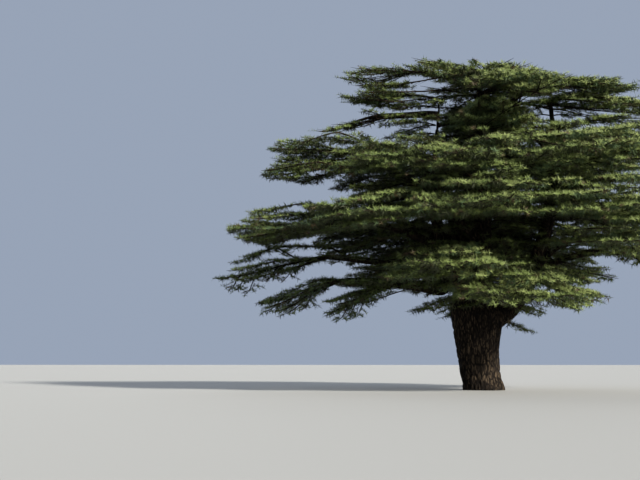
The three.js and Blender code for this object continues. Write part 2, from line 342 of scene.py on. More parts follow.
# A bare bough bears short plates from this share of its length on, this far apart.
DRESS_FROM = by_tier(0.05, 0.35, 0.35, 0.35)
DRESS_STEP = 0.6
# A limb whose way rises by more than this share stands upright.
UPRIGHT = 0.8
# The trunk and the stems bear short plates all round from this height up, each turned on from the
# one below: the trunk to its tip, the stems to the height given second. They lie in layers.
STEM_PLATES_FROM = 5.2
STEM_PLATES_TO = 17.6
STEM_PLATE_STEP = 0.23
STEM_LAYER = 0.7
GOLDEN_ANGLE = 2.4
# The longest short plates on a bough and on a stem, and how their length and their width vary, as
# shares of the longest and of the length.
BOUGH_PLATE = 2.1
STEM_PLATE = 3.3
SHORT_LENGTHS = (0.5, 1)
SHORT_WIDTHS = (0.5, 0.8)
SHORT_POINTS = 5
# How far the end of a short plate lies below its foot, at the least and at the most.
LEVEL = (-0.15, 0.4)
FLAT = (-0.05, 0.12)
HANGING = (0.2, 1.0)

# The shares between which the size of a plate and the lift of its tip vary.
SIZES = (0.7, 1.3)
LIFTS = (0.4, 1.6)


class Skeleton:
    """Points of wood, each with the point that it grows from and its way."""

    def __init__(self, places, ways, widths, spare):
        """The points that a mass may grow from, each with a greatest radius and a cost in metres."""
        self.places = list(places)
        self.ways = list(ways)
        self.widths = list(widths)
        self.spare = list(spare)
        self.parents = [-1] * len(places)
        self.given = len(places)

    def add(self, place, parent, way):
        self.places.append(np.asarray(place, float))
        self.parents.append(parent)
        self.ways.append(np.asarray(way, float))
        self.spare.append(0.0)
        return len(self.places) - 1

    def best_start(self, goal, heading):
        """The point of wood from which a bough reaches a goal with the least length and turning."""
        free_drop = 0.2
        shortest = 0.5
        places = np.array(self.places)
        towards = goal - places
        spans = np.linalg.norm(towards, axis=1)
        turning = 1 - (unit(towards) * unit(np.array(self.ways))).sum(axis=1)
        backward = np.maximum(0, -(unit(towards[:, :2]) @ heading))
        drop = np.maximum(0, places[:, 2] - goal[2] - free_drop)
        # A metre costs more where the bough turns, and still more where it runs back or drops.
        cost = spans * (1 + 0.6 * turning + 1.5 * backward) + 0.8 * drop + np.array(self.spare)
        cost[spans < shortest] += 2
        return int(cost.argmin())


def targets_in(mass, rng):
    """Where the plates of a mass have their middles: in layers, and well apart in each."""
    area = len(mass.spots) * mass.CELL**2
    count = round(max(mass.volume / PLATE_VOLUME[mass.tier], area / PLATE_AREA[mass.tier]))
    if mass.centre[0] < SHADED_SIDE:
        count = round(count * SHADED_PLATES)
    if mass.is_spur:
        count = round(count * SPUR_PLATES)
    tries = 60
    edge = 0.1
    unevenness = 0.05
    step = LAYER_STEP[mass.tier]
    flatness = PLATE_WIDTH[mass.tier] / step
    low, high = mass.heights(mass.spots)
    high = high + mass.room
    # The layers follow the plane that the mass lies along.
    plane = (mass.spots - mass.centre[:2]) @ mass.lay
    offset = rng.uniform(0, step)
    chosen = []
    for _ in range(count):
        picks = rng.integers(len(mass.spots), size=tries)
        levels = rng.uniform(edge, 1 - edge, tries)
        heights = mix(low[picks], high[picks], levels) - plane[picks] - offset
        heights = np.round(heights / step) * step + rng.normal(0, unevenness, tries)
        heights = np.clip(heights + plane[picks] + offset, low[picks], high[picks])
        places = np.column_stack([mass.spots[picks], heights])
        if not chosen:
            # The first plate goes to the mass's tip.
            best = mass.runs[picks].argmax()
        else:
            apart = places[:, None] - np.array(chosen)[None]
            apart[..., 2] *= flatness
            best = np.linalg.norm(apart, axis=2).min(axis=1).argmax()
        chosen.append(places[best])
    return chosen


def bent(start, way, finish, count, lift):
    """A bough's curve from a start, which it leaves in a given way, to a finish, with a rising end."""
    handle = 0.35
    nearly_level = (1, 1, 0.2)
    span = np.linalg.norm(finish - start)
    first = start + unit(way) * span * handle
    second = finish - unit((finish - start) * nearly_level) * span * handle - UP * lift
    shares = np.linspace(0, 1, count)[:, None]
    return (
        (1 - shares) ** 3 * start
        + 3 * (1 - shares) ** 2 * shares * first
        + 3 * (1 - shares) * shares**2 * second
        + shares**3 * finish
    )


def reach_from(mass, place, way, furthest, slack):
    """How far a mass goes on from a place in a level way."""
    steps = np.arange(0, furthest, mass.CELL)
    spots = place + steps[:, None] * way
    held = mass.holds(spots, slack)
    return furthest if held.all() else steps[held.argmin()]


def turned(way, angle):
    """A level way turned by an angle."""
    cosine = math.cos(angle)
    sine = math.sin(angle)
    return np.array([way[0] * cosine - way[1] * sine, way[0] * sine + way[1] * cosine])


def lie_of(mass, target, root, rng):
    """The heading of a plate in the plan, and the way that it lies along its mass's plane."""
    stray = 0.22
    from_root = unit((target - root)[:2])
    from_axis = unit(target[:2])
    along_mass = 0 if mass.is_central else 0.35
    heading = unit(0.4 * from_root + along_mass * mass.heading + 0.35 * from_axis)
    heading = turned(heading, rng.normal(0, stray))
    lay = STEEP_LAY if np.abs(mass.lay).max() > STEEP else EASY_LAY
    return heading, unit(np.append(heading, float(heading @ mass.lay) * lay))


def grow_mass(mass, skeleton, root, leader, rng):
    """Grows the boughs of a mass. Gives them as chains of points of wood, and its plates.

    The first bough leads to the mass's tip. It starts at the point of wood numbered leader, or where
    it does best."""
    edge_slack = 0.25
    inner_share = 0.75
    turned_at_start = 0.65
    fewest_points = 4
    chains = []
    plates = []
    tip_target, *others = targets_in(mass, rng)
    others.sort(key=lambda place: np.linalg.norm(place - root))
    for target in [tip_target, *others]:
        heading, way = lie_of(mass, target, root, rng)
        length = PLATE_LENGTH[mass.tier] * rng.uniform(*SIZES)
        ahead = reach_from(mass, target, way, length / 2, edge_slack) + TIP_BEYOND[mass.tier]
        tip = target + way * min(length / 2, ahead)
        # The plate grows on from the wood that leads best to its inner part.
        parent = skeleton.best_start(tip - way * length * inner_share, heading)
        if not chains and leader is not None:
            parent = leader
        start = skeleton.places[parent]
        straight = tip - start
        count = max(fewest_points, int(math.ceil(np.linalg.norm(straight) / NODE_STEP)) + 1)
        leave = unit(mix(unit(skeleton.ways[parent]), unit(straight), turned_at_start))
        axis = bent(start, leave, tip, count, TIP_LIFT[mass.tier] * rng.uniform(*LIFTS))
        chain = [parent]
        for before, place in zip(axis, axis[1:]):
            chain.append(skeleton.add(place, chain[-1], place - before))
        chains.append(chain)
        width = PLATE_WIDTH[mass.tier] * rng.uniform(*SIZES) * (SPUR_WIDTH if mass.is_spur else 1)
        plates.append((axis, length, width))
    return chains, plates


def short_plate(foot, leave, out, longest, droops, rng):
    """A small plate on a limb: its curve, its length and its width."""
    length = longest * rng.uniform(*SHORT_LENGTHS)
    finish = foot + out * length - UP * rng.uniform(*droops)
    axis = bent(foot, leave, finish, SHORT_POINTS, 0)
    return axis, length, length * rng.uniform(*SHORT_WIDTHS)


def outward_plate(foot, out, longest, droops, rng):
    """A small plate that leaves an upright limb outwards and a little upwards."""
    rise = 0.3
    return short_plate(foot, unit(out + rise * UP), out, longest, droops, rng)


def dressing(axis, tier, droops, rng):
    """Short plates along the outer part of a bough: to its two sides, or all round if it is upright."""
    rise = 0.1
    forward = 0.8
    length = spans_along(axis)[-1]
    distances = np.arange(DRESS_FROM[tier] * length, length, DRESS_STEP)
    feet, ways = axis_places(axis, length - distances)
    plates = []
    for k, (foot, way) in enumerate(zip(feet, ways)):
        if abs(way[2]) > UPRIGHT:
            out = np.array([math.cos(k * GOLDEN_ANGLE), math.sin(k * GOLDEN_ANGLE), 0.0])
            for side in (out, -out):
                plates.append(outward_plate(foot, side, BOUGH_PLATE, FLAT, rng))
        else:
            across = unit(np.cross(UP, way)) * (1 if k % 2 else -1)
            leave = unit(way + across + rise * UP)
            out = unit(forward * way + across)
            plates.append(short_plate(foot, leave, out, BOUGH_PLATE, droops, rng))
    return plates


def stem_plates(axis, radii, top, rng):
    """Short plates all round the upper part of a stem. The lowest ones hang over the fork."""
    # The crown is wider than it is deep, and more of the plates lie to its sides.
    to_sides = 1.7
    foot_depth = 0.7
    plates = []
    heading = rng.uniform(0, 2 * math.pi)
    for height in np.arange(STEM_PLATES_FROM, top, STEM_PLATE_STEP):
        layer = round(height / STEM_LAYER) * STEM_LAYER
        k = np.abs(axis[:, 2] - layer).argmin()
        heading += GOLDEN_ANGLE
        out = unit([to_sides * math.cos(heading), math.sin(heading), 0.0])
        foot = axis[k] + out * radii[k] * foot_depth
        droops = HANGING if height < TIER_FLOORS["middle"] else FLAT
        plates.append(outward_plate(foot, out, STEM_PLATE, droops, rng))
    return plates


def pipe_radii(skeleton, chains, tip_radius):
    """The radius at each point of wood, from how many tips it carries and how far off they are."""
    length_gain = 0.5
    tip_share = 0.35
    count = len(skeleton.places)
    carried = np.zeros(count)
    lengths = np.zeros(count)
    for chain in chains:
        carried[chain[-1]] += 1
    for i in range(count - 1, skeleton.given - 1, -1):
        parent = skeleton.parents[i]
        step = np.linalg.norm(skeleton.places[i] - skeleton.places[parent])
        lengths[parent] = max(lengths[parent], lengths[i] + step)
        if parent >= skeleton.given:
            carried[parent] += carried[i]
    radii = tip_radius * np.maximum(carried, 1) ** 0.5 * (1 + length_gain * lengths / (1 + lengths))
    radii *= np.minimum(1, tip_share + lengths)
    radii[: skeleton.given] = skeleton.widths
    return radii


# Foliage: side branches, twigs and needles


def fan_of(share):
    """How wide a plate is at a share of the way from its inner end to its tip."""
    widest_at = 0.4
    roundness = 0.7
    narrows_over = 0.65
    rise = np.clip(share / widest_at, 0, 1) ** roundness
    fall = np.clip((1 - share) / narrows_over, 0, 1)
    return np.minimum(rise, fall)


def axis_places(axis, distances):
    """Places and ways along a curve at distances from its tip."""
    inward = axis[::-1]
    from_tip = spans_along(inward)
    middles = (from_tip[1:] + from_tip[:-1]) / 2
    ways = values_at(distances, middles, -np.diff(inward, axis=0))
    return values_at(distances, from_tip, inward), unit(ways)


BRANCH_STEP = 0.22
FIRST_BRANCH = 0.1
SHORTEST_BRANCH = 0.15
TWIG_STEP = 0.21
TWIG_LENGTH = 0.5
# The share of the sprays that stand up into the light. The others hang.
STANDING = 0.58
# How side branches vary: their places, their reach, their lean, and how far they sag.
BRANCH_SHIFTS = (-0.06, 0.06)
BRANCH_REACHES = (0.7, 1.15)
BRANCH_LEANS = (-0.08, 0.08)
BRANCH_SAGS = (0.0, 0.1)
# How twigs vary: their places, their lean, their length, and how far they rise or hang.
TWIG_SHIFTS = (0.3, 0.9)
TWIG_LEANS = (-0.2, 0.2)
TWIG_LENGTHS = (0.7, 1.25)
TWIG_RISES = (0.0, 0.14)
TWIG_DROPS = (0.1, 1)
# From the inner end to the tip: how far the side branches of a plate lean forward, and how far the
# twigs of a side branch lean forward, hang and face outwards.
BRANCH_LEAN = (0.6, 1.3)
TWIG_LEAN = (0.7, 1.5)
TWIG_HANG = (0.75, 0.35)
TWIG_TILT = (0.2, 0.9)
# How far back the twig at the end of a side branch or a plate starts, and how long it is, as a share.
BRANCH_END = (0.1, 0.8)
PLATE_END = (0.15, 1.1)


def by_turns(count, first=0):
    """Sides taken by turns: 1 is one side and -1 the other."""
    return np.where((np.arange(count) + first) % 2 == 0, 1.0, -1.0)


def side_branches(axis, length, width, tier, rng):
    """A plate's side branches: their roots, ends, ways, reaches and sags. The first is the outermost."""
    stations = np.arange(FIRST_BRANCH, length, BRANCH_STEP)
    stations = stations + rng.uniform(*BRANCH_SHIFTS, len(stations))
    roots, ways = axis_places(axis, stations)
    share = 1 - stations / length
    reaches = width / 2 * fan_of(share) * rng.uniform(*BRANCH_REACHES, len(stations))
    across = unit(np.cross(UP, ways)) * by_turns(len(stations))[:, None]
    # They lean forward, more so towards the tip.
    lean = SWEEP[tier] * mix(*BRANCH_LEAN, share) + rng.uniform(*BRANCH_LEANS, len(stations))
    out = unit(across + ways * lean[:, None])
    sags = rng.uniform(*BRANCH_SAGS, len(stations)) * reaches
    ends = roots + out * reaches[:, None] - UP * sags[:, None]
    keep = reaches > SHORTEST_BRANCH
    return [part[keep] for part in (roots, ends, out, reaches, sags)], ways[0]


def facings_of(stands, outward, tilt):
    """The ways that rosettes on twigs open to: outwards, and up or, under their plate, down."""
    return unit(np.where(stands, 1.0, -1.0)[:, None] * UP + outward * tilt[:, None])


def twigs_on(root, end, way, reach, sag, tier, rng):
    """The twigs of a side branch: their starts, their finishes and their facings."""
    count = max(1, int(reach / TWIG_STEP))
    along = np.minimum((np.arange(count) + rng.uniform(*TWIG_SHIFTS)) / count, 1.0)
    aside = unit(np.cross(UP, way)) * by_turns(count, rng.integers(2))[:, None]
    # The branch sags more and more towards its end.
    starts = root + (end - root) * along[:, None] + UP * (sag * (along - along**2))[:, None]
    ahead = SWEEP[tier] * mix(*TWIG_LEAN, along) + rng.uniform(*TWIG_LEANS, count)
    stands = rng.random(count) < STANDING
    rises = rng.uniform(*TWIG_RISES, count)
    drops = HANG[tier] * mix(*TWIG_HANG, along) * rng.uniform(*TWIG_DROPS, count)
    ways = unit(aside + way * ahead[:, None] + UP * np.where(stands, rises, -drops)[:, None])
    long = TWIG_LENGTH * rng.uniform(*TWIG_LENGTHS, count)
    return starts, starts + ways * long[:, None], facings_of(stands, way, mix(*TWIG_TILT, along))


def end_twig(end, way, back, share):
    """The twig in which a branch or a plate ends. It starts a little way back."""
    start = end[None] - way * back
    finish = start + way[None] * (TWIG_LENGTH * share)
    return start, finish, facings_of([True], way, np.array(TWIG_TILT[1:]))


def leaf_plate(axis, length, width, tier, rng):
    """The roots and ends of a plate's side branches, and its twigs' starts, finishes and facings."""
    longest = 0.97 * np.linalg.norm(np.diff(axis, axis=0), axis=1).sum()
    branches, tip_way = side_branches(axis, min(length, longest), width, tier, rng)
    twigs = []
    for root, end, way, reach, sag in zip(*branches):
        twigs.append(twigs_on(root, end, way, reach, sag, tier, rng))
        twigs.append(end_twig(end, way, *BRANCH_END))
    twigs.append(end_twig(axis[-1], tip_way, *PLATE_END))
    roots, ends = branches[:2]
    return roots, ends, *(np.concatenate(part) for part in zip(*twigs))


SPURS_A_TWIG = 4
NEEDLES_A_SPUR = 4
NEEDLE_LENGTH = 0.23
NEEDLE_WIDTH = 0.044
# Needles in the shade, on the underside of a plate, are larger.
SHADE_SIZE = 1.35
# Where spurs sit in their part of the twig, and how their places and their ways vary.
SPUR_SEAT = 0.75
SPUR_SHIFTS = (-0.06, 0.06)
SPUR_STRAY = 0.3
# How needles vary: their turns round the spur, how far they open from it, and their length.
NEEDLE_TURNS = (-0.5, 0.5)
NEEDLE_OPENINGS = (0.9, 1.5)
NEEDLE_LENGTHS = (0.8, 1.2)


def needle_mesh(starts, finishes, facings, rng):
    """Rosettes of needles on short spurs along twigs: each needle tapers from its foot to its tip."""
    spurs = (len(starts), SPURS_A_TWIG, 1)
    along = (np.arange(SPURS_A_TWIG) + SPUR_SEAT) / SPURS_A_TWIG
    along = along[:, None] + rng.uniform(*SPUR_SHIFTS, spurs)
    feet = (starts[:, None] + (finishes - starts)[:, None] * along)[:, :, None]
    strays = rng.normal(0, SPUR_STRAY, (*spurs[:2], 3))
    axes = unit(facings[:, None] + strays)[:, :, None]
    # Each rosette opens round its spur's own axis.
    nearly_up = UP + (0.05, 0.02, 0)
    first = unit(np.cross(axes, nearly_up))
    second = np.cross(axes, first)
    needles = (*spurs[:2], NEEDLES_A_SPUR, 1)
    turns = turns_in(NEEDLES_A_SPUR)[:, None] + rng.uniform(*NEEDLE_TURNS, needles)
    turns = turns + rng.uniform(0, 2 * math.pi, (*spurs, 1))
    open_by = rng.uniform(*NEEDLE_OPENINGS, needles)
    ring = np.cos(turns) * first + np.sin(turns) * second
    ways = np.cos(open_by) * axes + np.sin(open_by) * ring
    size = np.where(facings[:, 2] > 0, 1, SHADE_SIZE)[:, None, None, None]
    long = size * NEEDLE_LENGTH * rng.uniform(*NEEDLE_LENGTHS, needles)
    wide = unit(np.cross(ways, axes)) * size * NEEDLE_WIDTH / 2
    return np.stack([feet + wide, feet - wide, feet + ways * long], axis=3).reshape(-1, 3)


def spikes(starts, finishes, radius):
    """Thin three-sided spikes, which taper to a point."""
    nearly_up = UP + (0.01, 0, 0)
    way = unit(finishes - starts)
    aside = unit(np.cross(nearly_up, way))
    over = np.cross(way, aside)
    corners = [starts + radius * (math.cos(turn) * aside + math.sin(turn) * over)
               for turn in (0.5, 2.6, 4.7)]
    places = np.stack([*corners, finishes], axis=1).reshape(-1, 3)
    first = 4 * np.arange(len(starts))[:, None, None]
    faces = np.array([[0, 1, 3], [1, 2, 3], [2, 0, 3]])[None] + first
    return places, faces.reshape(-1, 3)


# Tubes


def ring_faces(rings, sides):
    """Triangles between rings of places, and from the last ring to the place after it."""
    corner = np.arange(rings * sides)
    beside = corner - corner % sides + (corner + 1) % sides
    low = corner[:-sides]
    low_beside = beside[:-sides]
    return np.concatenate([
        np.column_stack([low, low_beside, low_beside + sides]),
        np.column_stack([low, low_beside + sides, low + sides]),
        np.column_stack([corner[-sides:], beside[-sides:], np.full(sides, rings * sides)]),
    ])


def tube(axis, radii, sides, relief=None):
    """A tube round a curve, with a flat foot and its tip closed to a point."""
    axis = np.asarray(axis)
    ways = unit(np.gradient(axis, axis=0))
    aside = unit(np.cross(UP if abs(ways[0] @ UP) < UPRIGHT else AWAY, ways[0]))
    turns = turns_in(sides)
    rings = []
    for k in range(len(axis)):
        aside = unit(aside - ways[k] * (aside @ ways[k]))
        over = np.cross(ways[k], aside)
        swell = np.ones(sides) if relief is None else relief(k, turns)
        ring = axis[k] + radii[k] * swell[:, None] * (
            np.cos(turns)[:, None] * aside + np.sin(turns)[:, None] * over
        )
        rings.append(ring)
    places = np.concatenate([*rings, axis[-1:] + ways[-1:] * radii[-1]])
    foot = [(0, i + 1, i) for i in range(1, sides - 1)]
    return places, np.concatenate([ring_faces(len(axis), sides), foot])


class Bundle:
    """Many small bodies gathered into one mesh of triangles."""

    def __init__(self):
        self.places = []
        self.faces = []
        self.count = 0

    def add(self, places, faces):
        """Adds a body from its places and its triangles."""
        self.places.append(places)
        self.faces.append(faces + self.count)
        self.count += len(places)

    def made(self, name, materials, smooth=True):
        return new_object(
            name, np.concatenate(self.places), np.concatenate(self.faces), materials, smooth=smooth
        )


# Materials


def plain_material(name, colour, roughness):
    material = bpy.data.materials.new(name)
    material.use_nodes = True
    shader = material.node_tree.nodes["Principled BSDF"]
    shader.inputs["Base Color"].default_value = (*colour, 1)
    shader.inputs["Roughness"].default_value = roughness
    shader.inputs["Specular IOR Level"].default_value = 0.2
    material.diffuse_color = (*colour, 1)
    return material


# The greens, from sunlit tips to needles that stand in shade: painted light and shade, dealt out to the
# sprays; the brown is dealt by chance.
GREENS = {
    "needles_pale": (0.14, 0.172, 0.055),
    "needles_bright": (0.105, 0.138, 0.038),
    "needles_mid": (0.076, 0.104, 0.028),
    "needles_blue": (0.058, 0.09, 0.038),
    "needles_dark": (0.035, 0.043, 0.018),
    "needles_brown": (0.06, 0.045, 0.022),
}
DARKEST = list(GREENS).index("needles_dark")
BROWN = list(GREENS).index("needles_brown")
TWIG_COLOUR = (0.042, 0.032, 0.022)
FLOOR_COLOUR = (0.27, 0.27, 0.26)

# The colours of bark, and the heights in its pattern that have them.
CRACK_COLOUR = (0.003, 0.0022, 0.0017, 1)
PLATE_COLOUR = (0.013, 0.0095, 0.0065, 1)
WORN_COLOUR = (0.08, 0.058, 0.036, 1)
CRACKS_AT = 0.42
PLATES_AT = 0.58
WORN_AT = 0.72


def bark_material(name):
    """Dark bark in upright plates with cracks between them, some of them worn paler."""
    material = bpy.data.materials.new(name)
    material.use_nodes = True
    tree = material.node_tree
    shader = tree.nodes["Principled BSDF"]

    def made(kind, **inputs):
        """A node, with its inputs set to numbers or linked to outputs of others."""
        node = tree.nodes.new(f"ShaderNode{kind}")
        for label, value in inputs.items():
            socket = node.inputs[label.replace("_", " ")]
            if isinstance(value, bpy.types.NodeSocket):
                tree.links.new(value, socket)
            else:
                socket.default_value = value
        return node

    place = made("TexCoord").outputs["Object"]

    def stretched(upright):
        """Places along the limbs, with patterns drawn out upwards."""
        return made("Mapping", Vector=place, Scale=(1, 1, upright)).outputs["Vector"]

    def grain(upright, **inputs):
        return made("TexNoise", Vector=stretched(upright), Distortion=0.5, **inputs).outputs["Fac"]

    def sum_of(part, share, other):
        """One value times a share, plus another."""
        total = made("Math")
        total.operation = "MULTIPLY_ADD"
        tree.links.new(part, total.inputs[0])
        total.inputs[1].default_value = share
        tree.links.new(other, total.inputs[2])
        return total.outputs["Value"]

    plates = made("TexVoronoi", Vector=stretched(0.3), Scale=6)
    plates.feature = "DISTANCE_TO_EDGE"
    raised = made("MapRange", Value=plates.outputs["Distance"], From_Max=0.16, To_Max=0.2)

    # The shares add up to less than one, so that the colours take the whole sum.
    relief = sum_of(grain(0.13, Scale=12, Detail=6), 0.45, raised.outputs["Result"])
    relief = sum_of(grain(0.4, Scale=26, Detail=4), 0.12, relief)
    worn = sum_of(grain(0.5, Scale=1.3, Detail=3), 0.22, relief)
    colours = made("ValToRGB", Fac=worn)
    ramp = colours.color_ramp
    ramp.elements[0].position = CRACKS_AT
    ramp.elements[0].color = CRACK_COLOUR
    ramp.elements[1].position = WORN_AT
    ramp.elements[1].color = WORN_COLOUR
    ramp.elements.new(PLATES_AT).color = PLATE_COLOUR
    tree.links.new(colours.outputs["Color"], shader.inputs["Base Color"])
    bump = made("Bump", Strength=0.8, Distance=0.05, Height=relief)
    tree.links.new(bump.outputs["Normal"], shader.inputs["Normal"])
    shader.inputs["Roughness"].default_value = 0.95
    shader.inputs["Specular IOR Level"].default_value = 0.1
    return material


# The rising limbs

# How far apart the rings of the limbs lie, and how many sides they have.
TRUNK_STEP = 0.12
TRUNK_SIDES = 64
STEM_STEP = 0.15
STEM_SIDES = 24
BOUGH_STEP = 0.25
BOUGH_SIDES = 14
WEB_SIDES = 20
BRANCH_SIDES = 5
# A stem leaves the trunk this far under its own foot, and is this much stouter there.
STEM_ROOT = 1.3
STEM_FLARE = 1.15
# A stem ends as a slim leader: its length, the radius at its tip, and what each metre adds to that.
LEADER_LENGTH = 4.5
LEADER_TIP = 0.03
LEADER_TAPER = 0.032


def smooth_axis(axis, radii, step):
    """A limb's axis and radii at even steps, on a smooth curve through its measured places."""
    rounds = 3
    spans = spans_along(axis)
    wanted = np.linspace(0, spans[-1], max(3, int(spans[-1] / step)))
    out = values_at(wanted, spans, axis)
    wide = np.interp(wanted, spans, radii)
    for _ in range(rounds):
        out[1:-1] = (out[:-2] + 2 * out[1:-1] + out[2:]) / 4
        wide[1:-1] = (wide[:-2] + 2 * wide[1:-1] + wide[2:]) / 4
    return out, wide


def rising_limbs():
    """The axes and radii of the trunk and the stems."""
    limbs = {"trunk": measured_limb("trunk", *TRUNK_LEVELS)}
    trunk = limbs["trunk"][0]
    for name in STEMS:
        axis, radii = measured_limb(name, *STEM_LEVELS)
        foot = trunk[nearest_on(trunk, axis[0] - UP * STEM_ROOT)]
        limbs[name] = (np.vstack([foot, axis]), np.append(radii[0] * STEM_FLARE, radii))
    return limbs


def outline_rings(axis, radii):
    """The CAD trunk's own outline round its axis, ring by ring, with its facets rounded off."""
    places, corners = mesh_arrays("trunk")
    tree = BVHTree.FromPolygons(places.tolist(), corners.tolist())
    above_cut = 0.004
    widest = 1.5
    rounds = 4
    rings = np.empty((len(axis), TRUNK_SIDES))
    for k, centre in enumerate(axis):
        start = Vector(centre) + Vector((0, 0, above_cut if k == 0 else 0))
        for i, turn in enumerate(turns_in(TRUNK_SIDES)):
            hit = tree.ray_cast(start, Vector((math.cos(turn), math.sin(turn), 0)))[0]
            far = (hit - start).length if hit else radii[k]
            rings[k, i] = min(far, radii[k] * widest)
    for _ in range(rounds):
        rings = (np.roll(rings, 1, 1) + 2 * rings + np.roll(rings, -1, 1)) / 4
    return rings


def ringed_body(axis, rings):
    """A closed body from level rings round an axis, with its tip a little over the last ring."""
    tip_height = 0.1
    sides = rings.shape[1]
    turns = turns_in(sides)
    places = np.empty((*rings.shape, 3))
    places[..., 0] = axis[:, :1] + rings * np.cos(turns)
    places[..., 1] = axis[:, 1:2] + rings * np.sin(turns)
    places[..., 2] = axis[:, 2:]
    places = np.concatenate([places.reshape(-1, 3), axis[-1:] + UP * tip_height, axis[:1]])
    foot = [(i, len(places) - 1, (i + 1) % sides) for i in range(sides)]
    return places, np.concatenate([ring_faces(len(axis), sides), foot])


def fork_web(trunk, stem):
    """The wood that fills the crotch between the trunk and a stem."""
    # The web ends where the two axes are this far apart, and has its foot lower.
    span = 1.9
    on_a_level = 0.3
    share_to_stem = 0.55
    depth = 1.7
    radii = np.array([0.85, 0.75, 0.5])
    beside = np.linalg.norm(stem[:, None, :2] - trunk[None, :, :2], axis=2)
    level = np.abs(stem[:, None, 2] - trunk[None, :, 2])
    part = np.where(level < on_a_level, np.abs(beside - span), np.inf)
    on_stem, on_trunk = np.unravel_index(part.argmin(), part.shape)
    crotch = mix(trunk[on_trunk], stem[on_stem], share_to_stem)
    foot = trunk[nearest_on(trunk, crotch - UP * depth)]
    return tube([foot, mix(foot, crotch, 0.5), crotch], radii, WEB_SIDES)


def build_risers(limbs, bark):
    """The trunk and the stems as one body with fused forks and furrowed bark."""
    bundle = Bundle()
    axis, radii = smooth_axis(*limbs["trunk"], TRUNK_STEP)
    axis[0, 2] = 0.0
    bundle.add(*ringed_body(axis, outline_rings(axis, radii)))
    for name in STEMS:
        axis, radii = smooth_axis(*limbs[name], STEM_STEP)
        from_tip = np.linspace(len(axis) * STEM_STEP, 0, len(axis))
        slim = np.minimum(radii, LEADER_TIP + LEADER_TAPER * from_tip)
        radii = np.where(from_tip < LEADER_LENGTH, slim, radii)
        bundle.add(*tube(axis, radii, STEM_SIDES))
    for name in STEMS:
        bundle.add(*fork_web(limbs["trunk"][0], limbs[name][0]))
    body = bundle.made("bark_trunk_and_stems", [bark])
    remesh = body.modifiers.new("fuse", "REMESH")
    remesh.mode = "VOXEL"
    remesh.voxel_size = 0.06
    remesh.use_smooth_shade = True
    apply_modifiers(body)
    furrow(body, depth=0.07, swell=0.05)
    return body


def apply_modifiers(piece):
    graph = bpy.context.evaluated_depsgraph_get()
    graph.update()
    mesh = bpy.data.meshes.new_from_object(piece.evaluated_get(graph))
    old = piece.data
    piece.modifiers.clear()
    piece.data = mesh
    bpy.data.meshes.remove(old)


# How often the patterns of the furrowed bark repeat in a metre, across the limb and up it.
WANDER_SCALE = (1.2, 1.5)
PLATE_SCALE = (4.2, 1.1)
FINE_SCALE = (14, 4)
BROAD_SCALE = (1.1, 0.35)


def in_pattern(place, across, upwards, wander=0.0):
    """A place in a pattern of the bark."""
    x, y, z = place
    return Vector((x * across + wander, y * across + wander, z * upwards))


def furrow(piece, depth, swell):
    """Presses the cracks between upright plates of bark into a mesh, and leaves its foot flat."""
    wandering = 0.5
    crack = 0.35
    pressed = 0.7
    fine_share = 0.25
    foot = 0.02
    mesh = piece.data
    places = vertex_vectors(mesh, "co")
    ways = vertex_vectors(mesh, "normal")
    moves = np.empty(len(places))
    for i, place in enumerate(places):
        wander = noise.noise(in_pattern(place, *WANDER_SCALE)) * wandering
        near, next_near = noise.voronoi(in_pattern(place, *PLATE_SCALE, wander))[0][:2]
        raised = min((next_near - near) / crack, 1)
        fine = noise.noise(in_pattern(place, *FINE_SCALE))
        broad = noise.noise(in_pattern(place, *BROAD_SCALE))
        moves[i] = depth * (raised - pressed) + depth * fine_share * fine + swell * broad
    ways[places[:, 2] < foot, 2] = 0
    places += ways * moves[:, None]
    mesh.vertices.foreach_set("co", places.ravel())
    mesh.update()


# The crown

# Painted light: how much brighter the plates of a tier are, and those that are this far to the sunny
# side; the shaded side is painted darker.
TIER_TONE = by_tier(0.42, 0.04, 0.02, 0.22)
SUNNY_TONE = 0.34
SUNNY_REACH = 8.0
# The way to the sun, in the plan. Short plates of the head are painted so much brighter towards it.
SUNNY_WAY = np.array([0.8, -0.6, 0.0])
TOWARDS_SUN = 0.8
# The greatest tone of a short plate, and how high in its mass it counts as, which sets its painted
# light.
SHORT_TONE = 0.35
SHORT_STANDS = 0.3
# The scores from which a spray takes the next paler green, and the share of brown sprays.
GREEN_STEPS = (0.2, 0.34, 0.52, 0.76)
BROWN_SHARE = 0.04

# The radii of a bough's tip, of a short plate's bough at its ends, of side branches and of twigs.
TIP_RADIUS = by_tier(0.018, 0.026, 0.026, 0.026)
SHORT_RADII = (0.045, 0.02)
BRANCH_RADIUS = 0.014
TWIG_RADIUS = 0.012
# In how many metres a mass's first bough loses most of the girth of the bough that it goes on from.
LEADER_FADE = 3.5
SPUR_FADE = 6
# What it costs a bough to start, in metres: on a rising limb, on one where the mass has a bough of
# its own, at the middle of that bough, and on the bough of another mass.
LIMB_COST = 0.6
SPURNED_COST = 2.2
BOUGH_COST = 1.2
OTHERS_COST = 1.0


def ridden(piece):
    """A piece that rides on the tree, parented to the tree's root body."""
    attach(piece, "root")
    return piece


def side_of(place):
    """The side of the tree that a place is on."""
    turn = math.degrees(math.atan2(place[1], place[0])) % 360
    return ("right", "back", "left", "front")[int(((turn + 45) % 360) // 90)]


def deal_greens(stands, tall, tone, rng):
    """A green for each spray of a plate: painted light where it stands high in its mass, painted shade
    below.
    """
    # Painted light on sprays that stand up, paler the higher they stand; painted shade on those that
    # hang.
    lit = 0.34 + 0.32 * tone + 0.18 * np.clip(tall, 0, 1)
    shaded = 0.02 + 0.2 * tone
    score = np.where(stands, lit, shaded) + rng.uniform(-0.06, 0.1, len(stands))
    green = DARKEST - np.digitize(score, GREEN_STEPS)
    return np.where(rng.random(len(stands)) < BROWN_SHARE, BROWN, green)


